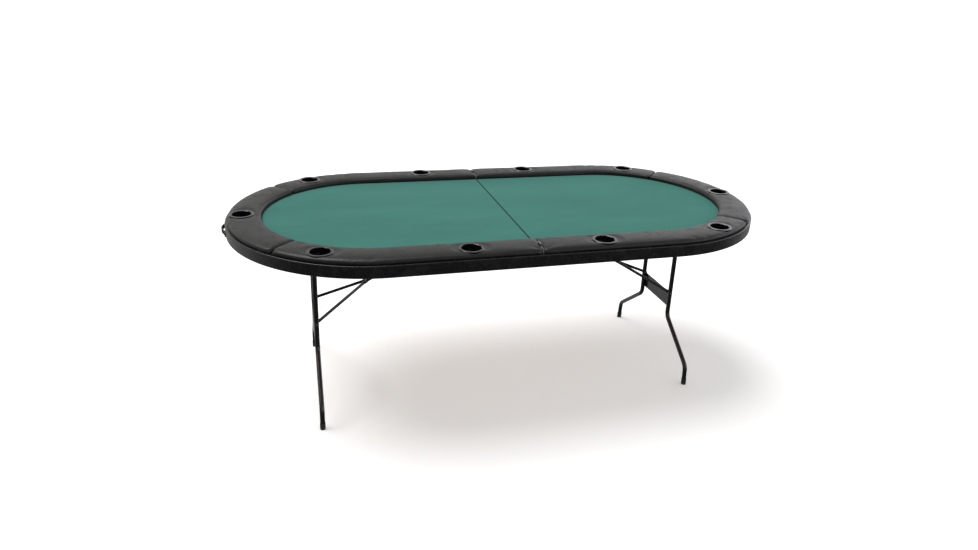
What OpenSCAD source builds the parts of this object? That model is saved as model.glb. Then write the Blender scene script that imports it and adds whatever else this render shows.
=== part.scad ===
// Folding poker table: two half tops with padded rails and cup holders, hinged at the fold,
// each on a pair of steel legs that swing in under it and are held open by an elbow brace.
// Millimetres, +Z up, +X along the table, -Y the front. Origin on the floor under the middle.

/* [Top] */
// Straight length of each half, from the fold to the centre of its round end
half_straight = 527; // [480:1:560]
// Radius of the round ends, which is half the width of the table
end_r = 543; // [535:1:560]
// Height of the apron's top edge above the floor
apron_top = 747; // [735:1:765]
// Height of the apron board
apron_h = 44; // [42:1:60]
// Thickness of the apron board
apron_t = 12; // [9:1:16]
// Thickness of the deck board
deck_t = 12; // [10:1:12]
// Thickness of the felt and its underlay
felt_t = 3; // [2:0.5:4]

/* [Rail pads] */
// Width of the padded rail
pad_w = 128; // [120:1:134]
// How far the rail pads stand above the apron's top edge
pad_rise = 19; // [16:1:24]
// Radius of the rail pad's upper edges
pad_edge_r = 14; // [8:1:15]
// Gap between two rail pads at a seam
seam_gap = 3; // [1:0.5:5]

/* [Cup holders] */
// Radius of the cup's opening
cup_r = 35; // [32:0.5:38]
// Radius of the cup's flange
cup_flange_r = 46; // [42:0.5:50]
// Depth of the cup below the rail pad's top
cup_depth = 50; // [40:1:56]
// Distance from the fold to the cup on the straight part
cup_inner_x = 246; // [150:1:400]
// Angle round the end from the table's axis to the cup on the curved part
cup_outer_angle = 63; // [55:1:75]

/* [Legs] */
// Radius of the leg tubes
tube_r = 9.5; // [8:0.5:9.5]
// Distance from the fold to the leg's pivot
leg_x = 761; // [740:1:800]
// How far each foot stands out beyond its pivot
foot_out = 12; // [0:1:20]
// Half the distance between the two upper tubes of a leg
leg_half_gap = 124; // [110:1:140]
// How far the leg's flare carries each tube outwards
flare_w = 200; // [150:1:210]
// Height of the upper bend of a leg
upper_bend_z = 235; // [225:1:260]
// Centre-line radius of the bends
bend_r = 45; // [30:1:55]

/* [Brace] */
// Distance from the fold to the brace's pivot under the top
brace_x = 83; // [70:1:100]
// Distance down the leg from its pivot to the brace's bolts
brace_drop = 374; // [370:1:378]
// Width of the brace's bars
bar_w = 12; // [10:1:12]

/* [Handle] */
// How far the carrying handle stands out from the apron
handle_out = 15; // [13:1:20]
// Height of the handle's strap
handle_h = 16; // [12:1:24]

/* [Hidden] */
ROUND = 96;
PADS = ["pad_front", "pad_end", "pad_back"];
CUPS = ["cup_front_inner", "cup_front_outer", "cup_end", "cup_back_outer", "cup_back_inner"];
HALF_PARTS = ["deck_board", "felt", "apron", "fold_rail", "handle", "handle_screws", "leg_saddles",
    "wood_screws", "brace_bracket", "brace_pin", "hinge_leaves"];
LEG_PARTS = ["leg_top_tube", "leg_front_tube", "leg_back_tube", "leg_panel", "leg_feet",
    "leg_pivot_bolts"];
BRACE_PARTS = ["brace_link", "brace_elbow_pin", "brace_struts", "brace_rivets"];
SIDE_PARTS = concat(HALF_PARTS, PADS, CUPS, LEG_PARTS, BRACE_PARTS);

// Levels
apron_bottom = apron_top - apron_h;
deck_top = apron_top - 4;
deck_bottom = deck_top - deck_t;
pad_top = apron_top + pad_rise;
flange_t = 2.4;
hinge_z = pad_top + flange_t + 0.6;
pivot_z = deck_bottom - tube_r - 1.5;

// Plan sizes
inner_r = end_r - apron_t;
pad_out_r = end_r - 3;
pad_in_r = pad_out_r - pad_w;
cup_line_r = end_r - 61;
end_top = half_straight + end_r;
board_gap = 0.2;
lay = 0.05;
fold_gap = 0.6;
felt_fold_gap = 1;
board_fold_gap = 2;
pad_fold_gap = 3.5;
fold_rail_w = 28;
handle_z = apron_bottom + 2;
handle_screw_turn = 6.3;

// Hinge
leaf_near = 0.25;
leaf_t = 1.5;
leaf_y = [416, 527];
leaf_top = pad_top - 4;
leaf_edge_r = 12;
knuckle_r = 2.4;
pin_r = 1;
tab_under_pin = 0.3;
running = 0.05;
knuckle_mid = 482;
knuckle_half = 14;
knuckle_split = 5;
knuckle_gap = 0.15;

// Leg
wall = 1.5;
lean = atan2(foot_out, pivot_z);
foot_s = pivot_z / cos(lean);
upper_bend_s = (pivot_z - upper_bend_z) / cos(lean);
lower_bend_s = upper_bend_s + flare_w * 3 / 4;
flare_turn = atan2(4, 3);
foot_tilt = 2 * atan2(3, 79);
foot_turn = flare_turn - foot_tilt;
foot_half_gap = leg_half_gap + flare_w + (foot_s - lower_bend_s) * tan(foot_tilt);
tube_lift = 5;
upper_cut = bend_r * tan(flare_turn / 2);
foot_cut = bend_r * tan(foot_turn / 2);
upper_l = upper_bend_s - upper_cut;
flare_l = flare_w * 5 / 4 - upper_cut - foot_cut;
foot_l = (foot_s - lower_bend_s) / cos(foot_tilt) - foot_cut - tube_lift;
top_tube_half = leg_half_gap + 16;
panel_near = tube_r - 1.75;
panel_s = [brace_drop + 6, brace_drop + 76];
cap_r = 10.5;
cap_h = 30;
bolt_r = 3;

// Saddles and brace bracket under the deck
saddle_y = 90;
saddle_w = 16;
saddle_screw_x = 19;
ear_in = 8;
ear_t = 2;
bracket_screw = [12, 17];
screw_r = 1.8;
screw_head_r = 3.4;
screw_l = 9;

// Brace: straight when the leg is down, folded back on itself when the leg is up
bolt_x = leg_x + brace_drop * sin(lean);
bolt_z = pivot_z - brace_drop * cos(lean);
reach_down = norm([bolt_x - brace_x, pivot_z - bolt_z]);
reach_up = leg_x - brace_drop - brace_x;
link_l = (reach_down + reach_up) / 2;
strut_l = (reach_down - reach_up) / 2;
brace_slope = atan2(pivot_z - bolt_z, bolt_x - brace_x);
link_half = 7;
strut_t = 3;
strut_elbow_y = 10.5;
strut_bolt_y = leg_half_gap - 13;
strut_flat = 14;

// Centre of cup i of a half, counted from the front of the fold round to the back
function cup_place(i) = i == 2
    ? [half_straight + cup_line_r, 0]
    : (i == 0 || i == 4)
        ? [cup_inner_x, (i == 0 ? -1 : 1) * cup_line_r]
        : [half_straight, 0] + cup_line_r * [cos(cup_outer_angle), (i == 1 ? -1 : 1) * sin(cup_outer_angle)];

// Screws that go up into the deck: two for each saddle and four for the brace bracket
function deck_screws() = concat(
    [for (dx = [-1, 1], dy = [-1, 1]) [leg_x + dx * saddle_screw_x, dy * saddle_y]],
    [for (dx = [-1, 1], dy = [-1, 1]) [brace_x + dx * bracket_screw[0], dy * bracket_screw[1]]]);

// Screws that hold the hinge leaves to the fold rail
function leaf_screws() = [for (side = [-1, 1], y = [435, 471.5, 508]) [side * y, deck_bottom - 13]];

// Everything is drawn for the right half and mirrored for the left
module on(side) {
    mirror([side == "left" ? 1 : 0, 0, 0]) children();
}

module both_ways() {
    children();
    mirror([0, 1, 0]) children();
}

module along_y(h, r) {
    rotate([90, 0, 0]) cylinder(h = h, r = r, center = true, $fn = ROUND);
}

// Half of the table's outline, from the fold to the round end
module half_outline(r, from_fold) {
    intersection() {
        translate([from_fold, -r]) square([end_top, 2 * r]);
        union() {
            translate([0, -r]) square([half_straight, 2 * r]);
            translate([half_straight, 0]) circle(r, $fn = 2 * ROUND);
        }
    }
}

// A profile of radius and height, run along the straight back edge
module straight_run(from_fold) {
    translate([from_fold, 0, 0]) rotate([90, 0, 90]) linear_extrude(half_straight - from_fold) children();
}

// The same profile, run round the end between two angles
module round_run(from, to) {
    translate([half_straight, 0, 0]) rotate([0, 0, from])
        rotate_extrude(angle = to - from, $fn = 2 * ROUND) children();
}

module deck_board() {
    color("tan") difference() {
        translate([0, 0, deck_bottom]) linear_extrude(deck_t) difference() {
            half_outline(inner_r - board_gap, board_fold_gap);
            for (i = [0 : 4]) translate(cup_place(i)) circle(cup_r + 3, $fn = ROUND);
        }
        for (p = deck_screws()) translate([p[0], p[1], deck_bottom - 1])
            cylinder(h = screw_l, r = screw_r + running, $fn = 24);
    }
}

module felt() {
    color([0.31, 0.54, 0.49]) translate([0, 0, deck_top]) linear_extrude(felt_t)
        half_outline(pad_in_r - 0.5, felt_fold_gap);
}

module apron_profile() {
    edge = 2.5;
    translate([inner_r, apron_bottom]) square([apron_t - edge, apron_h]);
    translate([inner_r, apron_bottom + edge]) square([apron_t, apron_h - 2 * edge]);
    for (z = [apron_bottom + edge, apron_top - edge]) translate([end_r - edge, z]) circle(edge, $fn = 32);
}

module apron() {
    color([0.12, 0.12, 0.12]) union() {
        both_ways() straight_run(fold_gap) apron_profile();
        round_run(-90, 90) apron_profile();
    }
}

module fold_rail() {
    depth = deck_bottom - apron_bottom - 3;
    color("tan") difference() {
        translate([board_fold_gap, -inner_r + board_gap, deck_bottom - depth])
            cube([fold_rail_w, 2 * (inner_r - board_gap), depth]);
        for (p = leaf_screws()) translate([0, p[0], p[1]]) rotate([0, 90, 0])
            cylinder(h = 16, r = screw_r + running, $fn = 24);
    }
}

// Section of a rail pad: its foot stands on the deck inside the apron, and its body covers both
module pad_profile() {
    r = pad_edge_r;
    translate([pad_in_r, deck_top + lay]) square([inner_r - board_gap - pad_in_r, pad_rise / 2]);
    intersection() {
        translate([pad_in_r, apron_top + lay]) square([pad_w, pad_rise]);
        union() {
            translate([pad_in_r, apron_top]) square([pad_w, pad_rise - r]);
            translate([pad_in_r + r, apron_top]) square([pad_w - 2 * r, pad_rise]);
            for (x = [pad_in_r + r, pad_out_r - r]) translate([x, pad_top - r]) circle(r, $fn = 48);
        }
    }
}

module cup_holes(places) {
    for (i = places) translate([cup_place(i)[0], cup_place(i)[1], deck_top - 1])
        cylinder(h = pad_rise + 8, r = cup_r + 2.5, $fn = ROUND);
}

module pad_side(front) {
    half_seam = seam_gap / 2 / cup_line_r * 180 / PI;
    color([0.25, 0.24, 0.23]) difference() {
        mirror([0, front ? 1 : 0, 0]) union() {
            straight_run(pad_fold_gap) pad_profile();
            round_run(90, 45 + half_seam) pad_profile();
        }
        cup_holes(front ? [0, 1] : [3, 4]);
    }
}

module pad_end() {
    half_seam = seam_gap / 2 / cup_line_r * 180 / PI;
    color([0.25, 0.24, 0.23]) difference() {
        round_run(-45 + half_seam, 45 - half_seam) pad_profile();
        cup_holes([2]);
    }
}

// A cup pressed from sheet, with a flange that lies on the rail pad
module cup(i) {
    skin = 1.5;
    outer = cup_r + skin;
    bottom = pad_top - cup_depth;
    top = pad_top + flange_t;
    color([0.06, 0.06, 0.06]) translate([cup_place(i)[0], cup_place(i)[1], 0])
        rotate_extrude($fn = ROUND) polygon([
        [0, bottom], [outer - 4, bottom], [outer, bottom + 4],
        [outer, pad_top + lay], [cup_flange_r - 1, pad_top + lay], [cup_flange_r, pad_top + 0.8],
        [cup_flange_r - 1.5, top], [cup_r + 1.5, top], [cup_r, top - 1.5],
        [cup_r, bottom + 5.5], [cup_r - 4, bottom + 2], [0, bottom + 2]]);
}

// A bowed strap moulded in one with its two feet, which follow the apron
module handle() {
    bow_r = 86;
    bow_turn = 33;
    strap_t = 4;
    foot_turn_w = 2.8;
    bow_centre = end_top + handle_out - bow_r;
    color([0.05, 0.05, 0.05]) difference() {
        union() {
            for (a = [-1, 1] * handle_screw_turn - [1.1, 1.7]) round_run(a, a + foot_turn_w)
                translate([end_r, handle_z]) square([strap_t, handle_h]);
            translate([bow_centre, 0, 0]) rotate([0, 0, -bow_turn])
                rotate_extrude(angle = 2 * bow_turn, $fn = 2 * ROUND)
                translate([bow_r - strap_t, handle_z]) square([strap_t, handle_h]);
        }
        for (a = [-1, 1] * handle_screw_turn) handle_screw_at(a)
            cylinder(h = 20, r = screw_r + running, center = true, $fn = 24);
        translate([half_straight, 0, handle_z - 1]) cylinder(h = handle_h + 2, r = end_r, $fn = 4 * ROUND);
    }
}

// A place on the apron's end at an angle from the axis, with +Z pointing outwards
module handle_screw_at(a) {
    translate([half_straight, 0, handle_z + handle_h / 2]) rotate([0, 0, a])
        translate([end_r, 0, 0]) rotate([0, 90, 0]) children();
}

module handle_screws() {
    color("silver") for (a = [-1, 1] * handle_screw_turn) handle_screw_at(a) {
        cylinder(h = 4.2, r = screw_r, $fn = 24);
        translate([0, 0, 4.2]) cylinder(h = 1.6, r = screw_head_r, $fn = 32);
    }
}

// Straps that carry the leg's top tube and let it turn
module leg_saddles() {
    strap_r = tube_r + 2;
    flange_w = 26;
    color([0.1, 0.1, 0.1]) for (y = [-saddle_y, saddle_y]) translate([leg_x, y, pivot_z]) difference() {
        intersection() {
            union() {
                along_y(saddle_w, strap_r);
                translate([-strap_r, -saddle_w / 2, 0]) cube([2 * strap_r, saddle_w, strap_r]);
                translate([-flange_w, -saddle_w / 2, deck_bottom - pivot_z - 2])
                    cube([2 * flange_w, saddle_w, 2]);
            }
            translate([-50, -50, -50]) cube([100, 100, 50 + deck_bottom - pivot_z]);
        }
        along_y(saddle_w + 2, tube_r + running);
        for (x = [-saddle_screw_x, saddle_screw_x]) translate([x, 0, 0])
            cylinder(h = 20, r = screw_r + running, $fn = 24);
    }
}

module wood_screw() {
    translate([0, 0, -1.5]) cylinder(h = 1.5, r = screw_head_r, $fn = 32);
    cylinder(h = screw_l - 1.2, r = screw_r, $fn = 24);
}

module wood_screws() {
    color("silver") {
        for (p = deck_screws()) translate([p[0], p[1], deck_bottom - 2]) wood_screw();
        for (p = leaf_screws()) translate([leaf_near + leaf_t, p[0], p[1]]) rotate([0, 90, 0]) wood_screw();
    }
}

// A plate with two ears for the brace's upper pin
module brace_bracket() {
    plate = [40, 48, 2];
    ear_r = 7;
    color([0.1, 0.1, 0.1]) translate([brace_x, 0, pivot_z]) difference() {
        union() {
            translate([-plate[0] / 2, -plate[1] / 2, deck_bottom - pivot_z - plate[2]]) cube(plate);
            both_ways() translate([0, ear_in + ear_t / 2, 0]) {
                along_y(ear_t, ear_r);
                translate([-ear_r, -ear_t / 2, 0]) cube([2 * ear_r, ear_t, deck_bottom - pivot_z - 1]);
            }
        }
        along_y(60, bolt_r + 0.02);
        for (dx = [-1, 1], dy = [-1, 1]) translate([dx * bracket_screw[0], dy * bracket_screw[1], 0])
            cylinder(h = 20, r = screw_r + running, $fn = 24);
    }
}

module brace_pin() {
    color("silver") translate([brace_x, 0, pivot_z]) {
        along_y(2 * (ear_in + ear_t) + 3, bolt_r);
        both_ways() translate([0, ear_in + ear_t + 1, 0]) along_y(1.8, bolt_r + 1.5);
    }
}

module leaf_profile() {
    r = leaf_edge_r;
    bottom = apron_bottom + 3;
    translate([leaf_y[0], bottom]) square([leaf_y[1] - leaf_y[0], leaf_top - r - bottom]);
    translate([leaf_y[0] + r, bottom]) square([leaf_y[1] - leaf_y[0] - 2 * r, leaf_top - bottom]);
    for (y = [leaf_y[0] + r, leaf_y[1] - r]) translate([y, leaf_top - r]) circle(r, $fn = 48);
}

// Spans of the knuckles along Y: the left leaf has the outer two, the right leaf the middle one
function knuckles(side) = side == "right"
    ? [[knuckle_mid - knuckle_split + knuckle_gap, knuckle_mid + knuckle_split - knuckle_gap]]
    : [[knuckle_mid - knuckle_half, knuckle_mid - knuckle_split - knuckle_gap],
       [knuckle_mid + knuckle_split + knuckle_gap, knuckle_mid + knuckle_half]];

module hinge_leaves(side) {
    color("gainsboro") both_ways() difference() {
        union() {
            translate([leaf_near, 0, 0]) rotate([90, 0, 90]) linear_extrude(leaf_t) leaf_profile();
            for (k = knuckles(side)) {
                translate([leaf_near, k[0], leaf_top - 1])
                    cube([leaf_t, k[1] - k[0], hinge_z - pin_r - tab_under_pin - leaf_top + 1]);
                translate([0, (k[0] + k[1]) / 2, hinge_z]) along_y(k[1] - k[0], knuckle_r);
            }
        }
        translate([0, knuckle_mid, hinge_z]) along_y(4 * knuckle_half, pin_r + running);
        for (p = leaf_screws()) if (p[0] > 0) translate([-1, p[0], p[1]]) rotate([0, 90, 0])
            cylinder(h = 6, r = screw_head_r + running, $fn = 32);
    }
}

module hinge_pins() {
    color("silver") both_ways() translate([0, knuckle_mid, hinge_z]) {
        along_y(2 * knuckle_half + 2, pin_r);
        both_ways() translate([0, knuckle_half + 0.8, 0]) along_y(1, pin_r + 1.4);
    }
}

// Puts a leg's own frame in place: origin on the pivot, -Z down the leg, +X outwards
module leg_frame() {
    translate([leg_x, 0, pivot_z]) rotate([0, -lean, 0]) children();
}

module tube_section() {
    difference() {
        circle(tube_r, $fn = 48);
        circle(tube_r - wall, $fn = 48);
    }
}

// A straight stretch of tube along +X; what follows is drawn from its far end
module stretch(l) {
    rotate([0, 90, 0]) linear_extrude(l) tube_section();
    translate([l, 0, 0]) children();
}

// A bend to the left of a tube that runs along +X; what follows is drawn from its far end
module bend(turn) {
    wide = 4 * bend_r;
    difference() {
        translate([0, bend_r, 0]) rotate_extrude($fn = ROUND) translate([bend_r, 0]) tube_section();
        translate([-wide, -wide, -wide]) cube([wide, 2 * wide, 2 * wide]);
        bend_end(turn) translate([0, -wide, -wide]) cube([wide, 2 * wide, 2 * wide]);
    }
    bend_end(turn) children();
}

module bend_end(turn) {
    translate([0, bend_r, 0]) rotate([0, 0, turn]) translate([0, -bend_r, 0]) children();
}

module leg_tube(back) {
    color([0.04, 0.04, 0.04]) leg_frame() mirror([0, back ? 0 : 1, 0]) difference() {
        translate([0, leg_half_gap, 0]) rotate([90, 0, 90]) rotate([0, 0, -90])
            stretch(upper_l) bend(flare_turn) stretch(flare_l)
                mirror([0, 1, 0]) bend(foot_turn) stretch(foot_l);
        along_y(4 * top_tube_half, tube_r);
        translate([0, leg_half_gap, -brace_drop]) along_y(3 * tube_r, bolt_r + running);
    }
}

module leg_top_tube() {
    color([0.04, 0.04, 0.04]) leg_frame() difference() {
        along_y(2 * top_tube_half, tube_r);
        along_y(2 * top_tube_half + 2, tube_r - wall);
    }
}

module leg_panel() {
    color([0.04, 0.04, 0.04]) leg_frame() difference() {
        translate([panel_near, -leg_half_gap, -panel_s[1]])
            cube([wall, 2 * leg_half_gap, panel_s[1] - panel_s[0]]);
        both_ways() translate([0, leg_half_gap, -panel_s[1] - 1]) cylinder(h = 80, r = tube_r, $fn = ROUND);
    }
}

// Moulded caps on the tube ends, flat where they stand on the floor
module leg_feet() {
    color([0.08, 0.08, 0.08]) both_ways() difference() {
        leg_frame() translate([0, foot_half_gap, -foot_s]) rotate([foot_tilt, 0, 0]) difference() {
            translate([0, 0, -3]) cylinder(h = cap_h, r = cap_r, $fn = ROUND);
            translate([0, 0, tube_lift]) cylinder(h = cap_h, r = tube_r, $fn = ROUND);
        }
        translate([leg_x - 50, 0, -20]) cube([120, 400, 20]);
    }
}

// Bolt, spacer and nut at each lower end of the brace
module leg_pivot_bolts() {
    out = leg_half_gap + tube_r;
    gap = leg_half_gap - tube_r;
    strut_near = strut_bolt_y - strut_t / 2;
    strut_far = strut_bolt_y + strut_t / 2;
    color("silver") leg_frame() both_ways() translate([0, 0, -brace_drop]) rotate([-90, 0, 0]) {
        translate([0, 0, out]) cylinder(h = 3, r = 5, $fn = 32);
        translate([0, 0, strut_near - 3.4]) cylinder(h = out - strut_near + 3.4, r = bolt_r, $fn = 32);
        translate([0, 0, strut_far + 0.2]) cylinder(h = gap - strut_far - 0.3, r = 5, $fn = 32);
        translate([0, 0, strut_near - 3.4]) cylinder(h = 3.2, r = 5.5, $fn = 6);
    }
}

// A bar seen from the side: straight, with round ends about its two pivots
module bar_side(l) {
    translate([0, -bar_w / 2]) square([l, bar_w]);
    for (x = [0, l]) translate([x, 0]) circle(bar_w / 2, $fn = 48);
}

// The upper bar, a channel with its open side down, from the bracket to the elbow
module brace_link() {
    skin = 1.5;
    color([0.04, 0.04, 0.04]) translate([brace_x, 0, pivot_z]) rotate([0, brace_slope, 0]) difference() {
        rotate([90, 0, 0]) translate([0, 0, -link_half]) linear_extrude(2 * link_half) bar_side(link_l);
        translate([bar_w, -link_half + skin, -bar_w])
            cube([link_l - 2 * bar_w, 2 * (link_half - skin), 1.5 * bar_w - skin]);
        for (x = [0, link_l]) translate([x, 0, 0]) along_y(4 * link_half, bolt_r + running);
    }
}

// Puts the lower bars' frame in place: origin on the elbow, +X down to the bolts
module elbow_frame() {
    translate([brace_x, 0, pivot_z]) rotate([0, brace_slope, 0]) translate([link_l, 0, 0]) children();
}

module brace_elbow_pin() {
    color("silver") elbow_frame() along_y(2 * link_half + 2.8, bolt_r);
}

// Plan of one lower bar: flat at both ends, and spread from the elbow out to the leg tube
module strut_plan() {
    lead = bar_w;
    run = strut_l - 2 * strut_flat;
    slant = atan2(strut_bolt_y - strut_elbow_y, run);
    miter = strut_t / 2 * tan(slant / 2);
    h = strut_t / 2;
    a = [strut_flat, strut_elbow_y];
    b = [strut_l - strut_flat, strut_bolt_y];
    polygon([
        [-lead, a[1] - h], [a[0] + miter, a[1] - h], [b[0] + miter, b[1] - h], [strut_l + lead, b[1] - h],
        [strut_l + lead, b[1] + h], [b[0] - miter, b[1] + h], [a[0] - miter, a[1] + h], [-lead, a[1] + h]]);
}

module brace_struts() {
    color([0.04, 0.04, 0.04]) elbow_frame() both_ways() difference() {
        intersection() {
            translate([0, 0, -bar_w]) linear_extrude(2 * bar_w) strut_plan();
            rotate([90, 0, 0]) translate([0, 0, -2 * leg_half_gap])
                linear_extrude(4 * leg_half_gap) bar_side(strut_l);
        }
        for (x = [0, strut_l]) translate([x, leg_half_gap / 2, 0])
            along_y(2 * leg_half_gap, bolt_r + running);
    }
}

module brace_rivets() {
    out = strut_elbow_y + strut_t / 2;
    color("silver") elbow_frame() both_ways() rotate([-90, 0, 0]) {
        translate([0, 0, out - strut_t + 0.1]) cylinder(h = strut_t, r = bolt_r, $fn = 32);
        translate([0, 0, out]) cylinder(h = 2.2, r = 5, $fn = 32);
    }
}

for (side = ["left", "right"]) {
    on(side) deck_board();
    on(side) felt();
    on(side) apron();
    on(side) fold_rail();
    on(side) handle();
    on(side) handle_screws();
    on(side) leg_saddles();
    on(side) wood_screws();
    on(side) brace_bracket();
    on(side) brace_pin();
    on(side) hinge_leaves(side);
    on(side) pad_side(true);
    on(side) pad_end();
    on(side) pad_side(false);
    for (i = [0 : 4]) on(side) cup(i);
    on(side) leg_top_tube();
    on(side) leg_tube(false);
    on(side) leg_tube(true);
    on(side) leg_panel();
    on(side) leg_feet();
    on(side) leg_pivot_bolts();
    on(side) brace_link();
    on(side) brace_elbow_pin();
    on(side) brace_struts();
    on(side) brace_rivets();
}
hinge_pins();
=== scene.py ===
"""The looks of a folding poker table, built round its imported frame: felt, padded vinyl, cups and legs."""

import math

import bpy
from mathutils import Euler, Matrix, Vector, noise


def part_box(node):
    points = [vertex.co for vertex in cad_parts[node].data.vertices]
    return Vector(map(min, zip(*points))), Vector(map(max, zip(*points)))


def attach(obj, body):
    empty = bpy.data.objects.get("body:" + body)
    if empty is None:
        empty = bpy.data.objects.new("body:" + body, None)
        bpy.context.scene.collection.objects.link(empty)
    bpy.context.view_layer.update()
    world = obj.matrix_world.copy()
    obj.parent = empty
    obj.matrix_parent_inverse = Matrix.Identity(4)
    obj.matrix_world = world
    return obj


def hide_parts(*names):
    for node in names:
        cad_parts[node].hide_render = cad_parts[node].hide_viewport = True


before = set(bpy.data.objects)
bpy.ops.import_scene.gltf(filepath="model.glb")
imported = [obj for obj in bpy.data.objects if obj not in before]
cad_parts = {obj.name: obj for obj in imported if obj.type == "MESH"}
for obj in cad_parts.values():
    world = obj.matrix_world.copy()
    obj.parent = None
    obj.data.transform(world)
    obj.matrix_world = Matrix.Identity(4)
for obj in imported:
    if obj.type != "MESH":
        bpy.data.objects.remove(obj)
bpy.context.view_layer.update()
sides = {"left": -1, "right": 1}


# Boards: each half top is a raw fibreboard deck with a batten across the fold. They are sawn and
# screwed together before anything is covered, and only show from underneath.
class Wire:
    """A socket in a material. A sum on a wire adds its Math node, and node() adds any other node."""

    def __init__(self, tree, socket=None):
        self.tree = tree
        self.socket = socket

    def node(self, kind, settings=None, values=None, output=0):
        """Adds a node: its settings first, then the value or the wire of each socket."""
        made = self.tree.nodes.new("ShaderNode" + kind)
        for name, setting in (settings or {}).items():
            setattr(made, name, setting)
        for key, value in (values or {}).items():
            if isinstance(value, Wire):
                self.tree.links.new(value.socket, made.inputs[key])
            else:
                made.inputs[key].default_value = value
        return Wire(self.tree, made.outputs[output]) if made.outputs else None

    def math(self, operation, *terms):
        return self.node("Math", {"operation": operation}, dict(enumerate(terms)))

    def __add__(self, other):
        return self.math("ADD", self, other)

    def __sub__(self, other):
        return self.math("SUBTRACT", self, other)

    def __rsub__(self, other):
        return self.math("SUBTRACT", other, self)

    def __mul__(self, other):
        return self.math("MULTIPLY", self, other)

    __radd__ = __add__
    __rmul__ = __mul__

    def tint(self, low, high):
        """The colour low where this wire is 0, and high where it is 1."""
        low, high = (c if isinstance(c, Wire) else (*c, 1) for c in (low, high))
        return self.node("Mix", {"data_type": "RGBA"}, {0: self, 6: low, 7: high}, output=2)

    def between(self, low, high):
        """0 where this wire is under low, 1 where it is over high, and smooth in between."""
        settings = {"interpolation_type": "SMOOTHSTEP"}
        return self.node("MapRange", settings, {"Value": self, "From Min": low, "From Max": high})


def new_finish(name):
    """A new material, and a wire in it that holds each point's place in metres."""
    material = bpy.data.materials.new(name)
    material.use_nodes = True
    material.node_tree.nodes.clear()
    return material, Wire(material.node_tree).node("TexCoord", output="Object")


def stretched(place, factors):
    """Places drawn out along an axis, so that what lies on them runs along it."""
    return place.node("VectorMath", {"operation": "MULTIPLY"}, {0: place, 1: factors})


def blots(place, size, detail=2, roughness=0.5):
    """Noise about 0.5, with blots about size metres across."""
    values = {"Vector": place, "Scale": 1 / size, "Detail": detail, "Roughness": roughness}
    return place.node("TexNoise", {}, values, "Fac")


def surface(place, relief, depth, sockets):
    """Ends a material in a Principled surface, raised by a relief of 0 to 1 times depth in metres."""
    normal = place.node("Bump", {}, {"Strength": 1, "Distance": depth, "Height": relief})
    shader = place.node("BsdfPrincipled", {}, {**sockets, "Normal": normal})
    place.node("OutputMaterial", {}, {"Surface": shader})


def dress(material, *names):
    """Gives the frame's own parts of these names, on both sides, a material."""
    for side in sides:
        for name in names:
            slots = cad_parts[f"{side}_{name}"].data.materials
            slots.clear()
            slots.append(material)


fibreboard, place = new_finish("raw fibreboard")
fibres = blots(place, 0.0022, 4, 0.7)
clouds = blots(place, 0.12)
board_shade = (0.75 * fibres + 0.35 * clouds).between(0.3, 0.8)
surface(place, fibres, 0.0003, {
    "Base Color": board_shade.tint((0.17, 0.105, 0.055), (0.38, 0.27, 0.165)),
    "Roughness": 0.8 + 0.15 * fibres,
})
dress(fibreboard, "deck_board", "fold_rail")

# Felt: a napped teal-green cloth on a thin underlay, cut to each half's outline, pulled flat and
# glued down. It rolls over the deck at the fold, where it all but meets its twin, and a band of painted shade
# darkens it along the fold.
apron_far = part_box("right_apron")[1]
half_straight = apron_far.x - apron_far.y
felt_near, felt_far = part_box("right_felt")
felt_r = felt_far.y
fold_gap = 0.0002
felt_roll = 0.0024
felt_stations = 34
felt_rows = 40
felt_lift = 0.00012
glue = 0.0002


def mesh_piece(name, points, faces, material, smooth=True):
    """A new object from points in metres and faces, with a material."""
    mesh = bpy.data.meshes.new(name)
    mesh.from_pydata(points, [], faces)
    mesh.validate()
    mesh.polygons.foreach_set("use_smooth", [smooth] * len(mesh.polygons))
    mesh.materials.append(material)
    piece = bpy.data.objects.new(name, mesh)
    bpy.context.scene.collection.objects.link(piece)
    return piece


def roll(inset, radius):
    """How far a rounded edge lies under the flat beside it, at this distance in from the edge."""
    if inset >= radius:
        return 0.0
    return radius - math.sqrt(radius * radius - (radius - inset) ** 2)


def slab(columns, rows, top, bottom):
    """The points and faces of a closed slab over a grid: top and bottom give each grid point."""
    points = [top(i, j) for i in range(columns) for j in range(rows)]
    points += [bottom(i, j) for i in range(columns) for j in range(rows)]
    under = columns * rows
    faces = []
    for i in range(columns - 1):
        for j in range(rows - 1):
            a, b = i * rows + j, (i + 1) * rows + j
            faces.append((a, b, b + 1, a + 1))
            faces.append((under + a, under + a + 1, under + b + 1, under + b))
    rim = [i * rows for i in range(columns)]
    rim += [(columns - 1) * rows + j for j in range(1, rows)]
    rim += [i * rows + rows - 1 for i in reversed(range(columns - 1))]
    rim += list(reversed(range(1, rows - 1)))
    for a, b in zip(rim, rim[1:] + rim[:1]):
        faces.append((a, under + a, under + b, b))
    return points, faces


def mirrored(points, faces, x_side, y_side=1):
    """The same shape on another side of the table, with its faces still outwards."""
    flipped = [(x * x_side, y * y_side, z) for x, y, z in points]
    return flipped, [face[::-1] for face in faces] if x_side * y_side < 0 else faces


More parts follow.
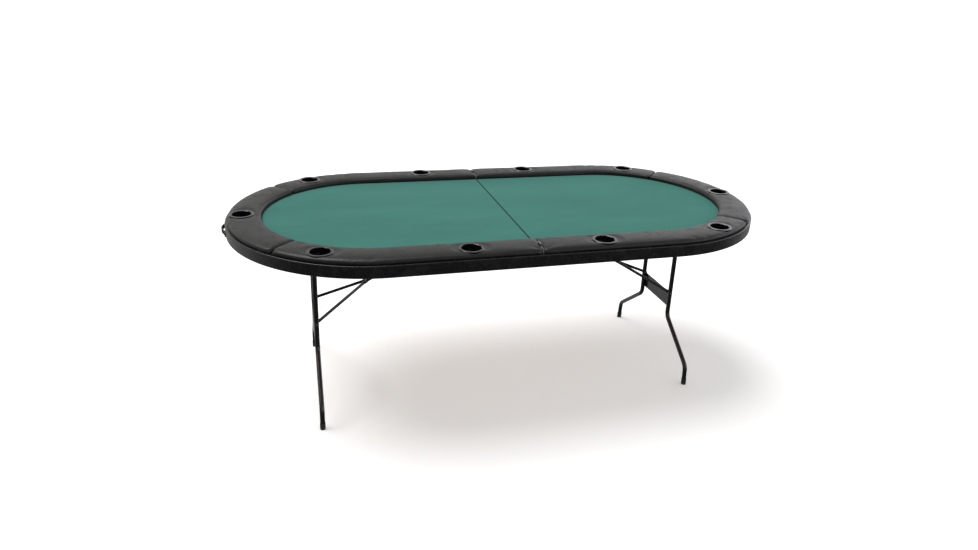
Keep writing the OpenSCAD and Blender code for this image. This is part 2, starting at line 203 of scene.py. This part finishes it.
def felt_point(i, j, level):
    """A point of the felt: station i from the fold round to the end, row j across."""
    near_fold = [0, 0.2, 0.5, 0.8, 1, 2]
    if i < len(near_fold):
        from_fold = near_fold[i] * felt_roll
        x, reach = fold_gap + from_fold, felt_r
    else:
        share = (i - len(near_fold) + 1) / (felt_stations - len(near_fold))
        run = share * (half_straight + felt_r * math.pi / 2)
        from_fold = max(run, 0.01)
        turn = max(0.0, run - half_straight) / felt_r
        x = min(run, half_straight) + felt_r * math.sin(turn)
        reach = felt_r * math.cos(turn)
    across = math.sin(math.pi * (j / (felt_rows - 1) - 0.5))
    lift = felt_lift * noise.noise(Vector((x, across * reach, 0)) / 0.07)
    return x, across * max(reach, 0), level - roll(from_fold, felt_roll) + lift


felt_cloth, place = new_finish("napped felt")
nap = blots(stretched(place, (1, 0.45, 1)), 0.0011, 5, 0.75)
tufts = blots(place, 0.006, 3, 0.6)
brushed = blots(stretched(place, (0.35, 1, 1)), 0.16, 3, 0.55)
felt_shade = (0.35 * nap + 0.2 * tufts + 0.45 * brushed).between(0.25, 0.75)
across_fold = place.node("SeparateXYZ", {}, {"Vector": place}, "X")
# Painted shade: a dark band on the felt within a few millimetres of the fold, standing in for the shade in
# the gap between the halves.
painted_fold_shade = 1 - across_fold.math("ABSOLUTE", across_fold).between(0.002, 0.0055)
# The felt's own colour, before the painted shade at the fold is laid over it.
unshaded_felt_colour = felt_shade.tint((0.033, 0.139, 0.113), (0.050, 0.187, 0.155))
surface(place, 0.7 * nap + 0.3 * tufts, 0.0005, {
    "Base Color": (0.85 * painted_fold_shade).tint(unshaded_felt_colour, (0.006, 0.022, 0.018)),
    "Roughness": 0.88 + 0.1 * nap,
    "Sheen Weight": 0.12,
    "Sheen Roughness": 0.5,
    "Sheen Tint": (0.45, 0.85, 0.75, 1),
    "Specular IOR Level": 0.15,
})
felt_form = slab(
    felt_stations, felt_rows,
    lambda i, j: felt_point(i, j, felt_far.z),
    lambda i, j: felt_point(i, j, felt_near.z + glue + felt_roll * (i == 0)))
for side, x_side in sides.items():
    felt = mesh_piece(f"{side}_felt_cloth", *mirrored(*felt_form, x_side), felt_cloth)
    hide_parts(f"{side}_felt")
    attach(felt, f"{side}_half")

# Apron: a bent board round the edge, covered in grained vinyl pulled tight and stapled under its
# lower edge. The vinyl has a fine pebble grain and slow waves, and it rounds the board's corners.
def vinyl(name, dark, light, shine, wave, gleam):
    """Grained vinyl between two colours, with waves of this height in metres."""
    material, place = new_finish(name)
    grain = {"Vector": place, "Scale": 1 / 0.0014}
    cells = place.node("TexVoronoi", {"feature": "DISTANCE_TO_EDGE"}, grain, "Distance")
    pebbles = cells.between(0.0, 0.16)
    creases = blots(place, 0.004, 4, 0.6)
    waves = blots(place, 0.05, 2, 0.4)
    worn = blots(place, 0.035, 5, 0.62).between(0.45, 0.75)
    colour = (0.55 * worn + 0.25 * creases + 0.2 * pebbles).tint(dark, light)
    relief = 0.00005 * pebbles + 0.00005 * creases + wave * waves
    surface(place, relief, 1, {
        "Base Color": colour,
        "Roughness": shine + 0.14 * worn + 0.08 * creases - 0.06 * pebbles,
        "Specular IOR Level": gleam,
    })
    return material


apron_vinyl = vinyl("apron vinyl", (0.0025, 0.0025, 0.003), (0.0075, 0.0075, 0.009), 0.27, 0.0003, 0.6)
dress(apron_vinyl, "apron")
for side in sides:
    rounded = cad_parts[f"{side}_apron"].modifiers.new("rounded", "BEVEL")
    rounded.width = 0.0045
    rounded.segments = 4
    rounded.limit_method = "ANGLE"

# Rail pads: three to each half, foam on a thin board with vinyl drawn over and stapled beneath.
# They are butted end to end, their corners and ends round off, and they sit in from the apron.
pad_near, pad_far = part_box("right_pad_back")
rail_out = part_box("right_pad_end")[1].x - half_straight
rail_in = felt_r + 0.0005
rail_mid = (rail_out + rail_in) / 2
half_width = (rail_out - rail_in) / 2
pad_top = pad_far.z
pad_foot = pad_near.z
pad_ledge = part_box("right_apron")[1].z
ledge_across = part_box("right_deck_board")[1].y - rail_mid
corner_out = 0.020
corner_in = 0.008
corner_foot = 0.004
pad_round = 0.009
inner_round = 0.006
slack = 0.0006
set_in = 0.0045
crown = 0.0024
under_top = 0.0022
half_seam = 0.0012
voxel = 0.005
most_swell = 0.0034
staple_h = 0.0015
bore_in = 0.0075
cup_rim_r = (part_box("right_cup_end")[1].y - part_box("right_cup_end")[0].y) / 2


def on_rail(along, across, level):
    """A point on the rail: along runs from the fold round the right end, and across runs outwards."""
    turn = max(0.0, along - half_straight) / rail_mid
    reach = rail_mid + across
    return min(along, half_straight) + reach * math.sin(turn), reach * math.cos(turn), level


def steps(length, edge, step):
    """Distances from 0 to length, close together near both ends."""
    close = [edge * k for k in (0, 0.05, 0.15, 0.3, 0.5, 0.75, 1)]
    count = max(2, round((length - 2 * edge) / step))
    middle = [edge + (length - 2 * edge) * k / count for k in range(1, count)]
    return close + middle + [length - c for c in reversed(close)]


def pad_form(start, end):
    """A pad before it swells: flat beneath, its edges and corners rounded, its top crowned."""
    length = end - start
    alongs = steps(length, pad_round, 0.011)
    reach = half_width - (slack + set_in) / 2
    middle = (slack - set_in) / 2
    acrosses = steps(2 * reach, pad_round, 0.009)

    def spot(i, j, corner):
        """The place of a grid point, and how far it lies in from the pad's outline."""
        u = alongs[i] - length / 2
        v = acrosses[j] - reach
        over = Vector((abs(u) - (length / 2 - corner), abs(v) - (reach - corner)))
        if over.x > 0 and over.y > 0:
            if over.length > corner:
                over = over.normalized() * corner
                u = math.copysign(length / 2 - corner + over.x, u)
                v = math.copysign(reach - corner + over.y, v)
            inset = corner - over.length
        else:
            inset = min(length / 2 - abs(u), reach - abs(v))
        return start + length / 2 + u, middle + v, max(inset, 0.0)

    def top(i, j):
        outer = acrosses[j] > reach
        along, across, inset = spot(i, j, corner_out if outer else corner_in)
        rise = crown * (1 - (across / half_width) ** 2)
        end_inset = min(alongs[i], length - alongs[i])
        rounding = pad_round if outer or end_inset < acrosses[j] else inner_round
        return on_rail(along, across, pad_top - under_top + rise - roll(inset, rounding))

    def bottom(i, j):
        along, across, _ = spot(i, j, corner_foot)
        return on_rail(along, across, (pad_ledge if across > ledge_across - 0.001 else pad_foot) + 0.0003)

    return slab(len(alongs), len(acrosses), top, bottom)


def settled(piece):
    """The piece's mesh with its modifiers applied, as lists of points and faces."""
    mesh = bpy.data.meshes.new_from_object(piece.evaluated_get(bpy.context.evaluated_depsgraph_get()))
    points = [tuple(v.co) for v in mesh.vertices]
    faces = [tuple(p.vertices) for p in mesh.polygons]
    bpy.data.meshes.remove(mesh)
    return points, faces


def discard(piece):
    """Removes a working piece and its mesh."""
    mesh = piece.data
    bpy.data.objects.remove(piece)
    bpy.data.meshes.remove(mesh)


def swollen(form):
    """The pad's vinyl blown up by its foam, held where it is stapled to the board."""
    blank = mesh_piece("pad_blank", *form, pad_vinyl)
    remesh = blank.modifiers.new("even", "REMESH")
    remesh.mode = "VOXEL"
    remesh.voxel_size = voxel
    points, faces = settled(blank)
    discard(blank)
    skin = mesh_piece("pad_skin", points, faces, pad_vinyl)
    stapled = skin.vertex_groups.new(name="stapled")
    stapled.add([k for k, p in enumerate(points) if p[2] < pad_ledge + staple_h], 1, "REPLACE")
    cloth = skin.modifiers.new("swell", "CLOTH")
    cloth.settings.vertex_group_mass = "stapled"
    cloth.settings.quality = 5
    cloth.settings.mass = 0.3
    cloth.settings.tension_stiffness = 22
    cloth.settings.compression_stiffness = 22
    cloth.settings.shear_stiffness = 12
    cloth.settings.bending_stiffness = 12
    cloth.settings.use_pressure = True
    cloth.settings.uniform_pressure_force = 4
    cloth.settings.effector_weights.gravity = 0
    cloth.collision_settings.use_collision = False
    for step in range(1, 21):
        bpy.context.scene.frame_set(step)
    blown, _ = settled(skin)
    bpy.context.scene.frame_set(1)
    capped = []
    for was, now in zip(points, blown):
        move = Vector(now) - Vector(was)
        capped.append(tuple(Vector(was) + move * (most_swell / (most_swell + move.length))))
    discard(skin)
    skin = mesh_piece("pad_skin", capped, faces, pad_vinyl)
    skin.modifiers.new("smooth", "SUBSURF").levels = 1
    points, faces = settled(skin)
    discard(skin)
    return points, faces


def from_seam(x, y, seams):
    """How far a point lies from the nearest of a pad's ends, measured along the rail."""
    x -= half_straight
    along = half_straight + rail_mid * (math.pi / 2 - math.atan2(y, x)) if x > 0 else half_straight + x
    return min(abs(along - seam) for seam in seams)


def lived_in(points, ends, cups, seed):
    """The pad as it is in use: soft hollows, puckers drawn towards its ends, and cups pressed in."""
    worn = []
    for x, y, z in points:
        height = min(1, max(0, (z - pad_ledge) / (pad_top - pad_ledge)))
        z += 0.0007 * height * noise.noise(Vector((x, y, seed)) / 0.085)
        pull = math.exp(-from_seam(x, y, ends) / 0.014)
        outward = math.hypot(max(0, x - half_straight), y) - rail_mid
        pucker = noise.noise(Vector((outward / 0.009, seed * 3.1, 0.5)))
        z += 0.0011 * pull * height * pucker
        for cup in cups:
            beyond = math.hypot(x - cup[0], y - cup[1]) - cup_rim_r
            if beyond < 0.03 and height > 0.5:
                limit = pad_top - 0.0002 + 0.003 * max(0, beyond / 0.03) ** 1.4
                z = min(z, limit)
        worn.append((x, y, z))
    return worn


def centre(node):
    """The middle of a node, seen from above."""
    near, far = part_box(node)
    return (near.x + far.x) / 2, (near.y + far.y) / 2


def bored(pad, cups):
    """The pad with a hole cut for each cup, just wider than the cup's wall."""
    hole_r = cup_rim_r - bore_in
    sectors = 48
    turns = [2 * math.pi * k / sectors for k in range(sectors)]
    for x, y in cups:
        ring = [(x + hole_r * math.cos(turn), y + hole_r * math.sin(turn)) for turn in turns]
        points = [(*p, pad_foot - 0.01) for p in ring] + [(*p, pad_top + 0.02) for p in ring]
        faces = [(k, (k + 1) % sectors, sectors + (k + 1) % sectors, sectors + k) for k in range(sectors)]
        faces += [tuple(reversed(range(sectors))), tuple(range(sectors, 2 * sectors))]
        core = mesh_piece("pad_core", points, faces, pad_vinyl, smooth=False)
        cut = pad.modifiers.new("bore", "BOOLEAN")
        cut.operation = "DIFFERENCE"
        cut.solver = "EXACT"
        cut.object = core
        mesh = bpy.data.meshes.new_from_object(pad.evaluated_get(bpy.context.evaluated_depsgraph_get()))
        pad.modifiers.clear()
        plain = pad.data
        pad.data = mesh
        bpy.data.meshes.remove(plain)
        discard(core)


pad_vinyl = vinyl("pad vinyl", (0.0035, 0.0033, 0.0031), (0.013, 0.012, 0.0112), 0.40, 0.0003, 0.38)
fold_end = 2 * fold_gap
first_seam = half_straight + rail_mid * math.pi / 4
second_seam = half_straight + rail_mid * math.pi * 3 / 4
side_ends = (fold_end, first_seam - half_seam)
end_ends = (first_seam + half_seam, second_seam - half_seam)
side_skin = swollen(pad_form(side_ends[0] + slack / 2, side_ends[1] - slack / 2))
end_skin = swollen(pad_form(end_ends[0] + slack / 2, end_ends[1] - slack / 2))
pads = {
    "pad_back": (side_skin, side_ends, 1, ("cup_back_inner", "cup_back_outer")),
    "pad_end": (end_skin, end_ends, 1, ("cup_end",)),
    "pad_front": (side_skin, side_ends, -1, ("cup_front_inner", "cup_front_outer")),
}
for side, x_side in sides.items():
    for number, (name, (skin, ends, y_side, cups)) in enumerate(pads.items()):
        seed = 7.3 * number + 31.7 * x_side
        on_right = [centre(f"right_{cup}") for cup in cups]
        on_back = [(x, y * y_side) for x, y in on_right]
        form = mirrored(lived_in(skin[0], ends, on_back, seed), skin[1], x_side, y_side)
        pad = mesh_piece(f"{side}_{name}_cushion", *form, pad_vinyl)
        bored(pad, [(x * x_side, y) for x, y in on_right])
        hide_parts(f"{side}_{name}")
        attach(pad, f"{side}_half")

# Cups: five to each half, moulded in glossy black plastic with a broad flange that rests on the
# pad. Each drops through the pad and the deck, and its floor is dulled by glasses and cans.
cup_gloss, place = new_finish("cup plastic")
cup_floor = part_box("right_cup_end")[0].z
height = place.node("SeparateXYZ", {}, {"Vector": place}, "Z")
dulled = (1 - height.between(cup_floor + 0.002, cup_floor + 0.012)) * blots(place, 0.012, 3)
handled = blots(place, 0.02, 5, 0.6).between(0.45, 0.8)
surface(place, blots(place, 0.0025, 2), 0.00003, {
    "Base Color": handled.tint((0.0045, 0.0045, 0.006), (0.010, 0.010, 0.012)),
    "Roughness": 0.15 + 0.16 * handled + 0.4 * dulled,
    "Specular IOR Level": 0.55,
})
dress(cup_gloss, "cup_front_inner", "cup_front_outer", "cup_end", "cup_back_outer", "cup_back_inner")

# Hinges: one at the front and one at the back of the fold, with stamped and zinc-plated leaves
# screwed to the battens. The pins run through knuckles that stand just above the pads.
zinc, place = new_finish("zinc plate")
drawn = blots(stretched(place, (1, 0.06, 1)), 0.0008, 3)
spangle = blots(place, 0.009, 4, 0.65)
surface(place, drawn, 0.00004, {
    "Base Color": spangle.tint((0.20, 0.205, 0.215), (0.36, 0.365, 0.375)),
    "Metallic": 1.0,
    "Roughness": 0.24 + 0.18 * spangle + 0.1 * drawn,
})
dress(zinc, "hinge_leaves", "wood_screws", "handle_screws", "brace_pin", "brace_elbow_pin", "brace_rivets",
      "leg_pivot_bolts")
pin_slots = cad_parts["hinge_pins"].data.materials
pin_slots.clear()
pin_slots.append(zinc)

# Carrying handles: a bowed strap and its two feet, moulded in one in matt black plastic and
# screwed to the apron at each end of the table.
handle_plastic, place = new_finish("handle plastic")
stipple = blots(place, 0.0009, 2)
rubbed = blots(place, 0.03, 4, 0.6).between(0.4, 0.75)
surface(place, stipple, 0.00012, {
    "Base Color": rubbed.tint((0.010, 0.010, 0.011), (0.024, 0.024, 0.025)),
    "Roughness": 0.5 + 0.12 * stipple - 0.12 * rubbed,
})
dress(handle_plastic, "handle")

# Saddles and brace brackets: pressed steel straps and plates screwed up into the deck, sprayed
# satin black. The leg's top tube turns in its saddles, so their edges are a little polished.
bracket_paint, place = new_finish("bracket paint")
spray = blots(place, 0.0016, 3)
chafed = blots(place, 0.014, 5, 0.65).between(0.55, 0.8)
surface(place, spray, 0.0001, {
    "Base Color": chafed.tint((0.010, 0.010, 0.010), (0.035, 0.034, 0.033)),
    "Roughness": 0.36 + 0.15 * spray + 0.1 * chafed,
})
dress(bracket_paint, "leg_saddles", "brace_bracket")

# Legs and braces: steel tube bent cold and powder coated gloss black, with a flat panel across
# each pair. The coat has a faint orange peel, and it is scuffed low down, near the feet.
leg_paint, place = new_finish("leg powder coat")
peel = blots(place, 0.0035, 2, 0.4)
height = place.node("SeparateXYZ", {}, {"Vector": place}, "Z")
scuffs = blots(stretched(place, (1, 1, 0.3)), 0.006, 6, 0.7).between(0.58, 0.72)
low = 1 - height.between(0.05, 0.32)
haze = blots(place, 0.05, 3)
surface(place, peel, 0.00022, {
    "Base Color": (scuffs * (0.25 + 0.75 * low)).tint((0.0055, 0.0055, 0.006), (0.045, 0.043, 0.041)),
    "Roughness": 0.17 + 0.14 * haze + 0.25 * scuffs * low,
    "Specular IOR Level": 0.5,
    "Coat Weight": 0.4,
    "Coat Roughness": 0.08,
})
dress(leg_paint, "leg_top_tube", "leg_front_tube", "leg_back_tube", "leg_panel", "brace_link", "brace_struts")

# Feet: moulded rubber caps pushed over the ends of the tubes, matt and dusty where they touch the
# floor.
foot_rubber, place = new_finish("foot rubber")
pores = blots(place, 0.0012, 3)
height = place.node("SeparateXYZ", {}, {"Vector": place}, "Z")
dust = (1 - height.between(0.0, 0.014)) * blots(place, 0.004, 4, 0.6)
surface(place, pores, 0.00015, {
    "Base Color": dust.tint((0.012, 0.012, 0.012), (0.085, 0.08, 0.073)),
    "Roughness": 0.62 + 0.15 * pores + 0.15 * dust,
})
dress(foot_rubber, "leg_feet")

# Room: a plain pale floor in a pale studio, brighter behind the table and to its right, with one
# broad soft light high to its left and behind. The camera stands before the left half, looking down.
floor_half = 400
floor_paint, place = new_finish("floor")
surface(place, blots(place, 0.4), 0.0, {
    "Base Color": (0.93, 0.93, 0.93, 1),
    "Roughness": 0.9,
    "Specular IOR Level": 0.1,
    "Emission Color": (1, 1, 1, 1),
    "Emission Strength": 0.27,
})
corners = [(x * floor_half, y * floor_half, 0) for x, y in ((-1, -1), (1, -1), (1, 1), (-1, 1))]
floor = mesh_piece("floor", corners, [(0, 1, 2, 3)], floor_paint, smooth=False)
floor.visible_glossy = False

world = bpy.data.worlds.new("studio")
world.use_nodes = True
world.node_tree.nodes.clear()
direction = Wire(world.node_tree).node("TexCoord", output="Generated")
right, back, up = (direction.node("SeparateXYZ", {}, {"Vector": direction}, axis) for axis in "XYZ")
behind = back.between(-0.35, 0.55)
backdrop = behind.tint((0.30, 0.30, 0.31), (1, 0.99, 0.97))
lit = (right.between(0.2, 0.65) * (1 - up.between(0.35, 0.7))).tint(
    up.between(0.24, 0.52).tint(backdrop, (0.34, 0.34, 0.34)), (1.55, 1.55, 1.60))
ground = behind.tint((0.05, 0.05, 0.05), (0.42, 0.42, 0.43))
seen = direction.node("LightPath", output="Is Camera Ray")
studio = direction.node("Background", {}, {
    "Color": seen.tint(up.between(-0.08, -0.03).tint(ground, lit), (1, 1, 1)),
    "Strength": 1,
})
direction.node("OutputWorld", {}, {"Surface": studio})
bpy.context.scene.world = world


def soft_sun(name, strength, spread, azimuth, elevation):
    """A broad far light, with its spread, azimuth (0 from behind, at +Y) and elevation in degrees."""
    lamp = bpy.data.lights.new(name, "SUN")
    lamp.energy = strength
    lamp.angle = math.radians(spread)
    light = bpy.data.objects.new(name, lamp)
    light.rotation_euler = (math.radians(elevation - 90), 0, math.radians(-azimuth))
    bpy.context.scene.collection.objects.link(light)


soft_sun("key", 2.5, 44, -60, 65)

camera_data = bpy.data.cameras.new("camera")
camera_data.lens = 25.87
camera_data.clip_end = 1000
camera = bpy.data.objects.new("camera", camera_data)
camera_yaw, camera_dip, camera_roll = 16.258, 23.469, 2.327
turned = Euler((0, 0, math.radians(-camera_yaw))).to_matrix()
dipped = Euler((math.radians(90 - camera_dip), 0, 0)).to_matrix()
rolled = Euler((0, 0, math.radians(camera_roll))).to_matrix()
camera.matrix_world = Matrix.Translation((-0.8089, -2.6378, 1.6360)) @ (turned @ dipped @ rolled).to_4x4()
bpy.context.scene.collection.objects.link(camera)
bpy.context.scene.camera = camera
bpy.context.scene.view_settings.view_transform = "Standard"
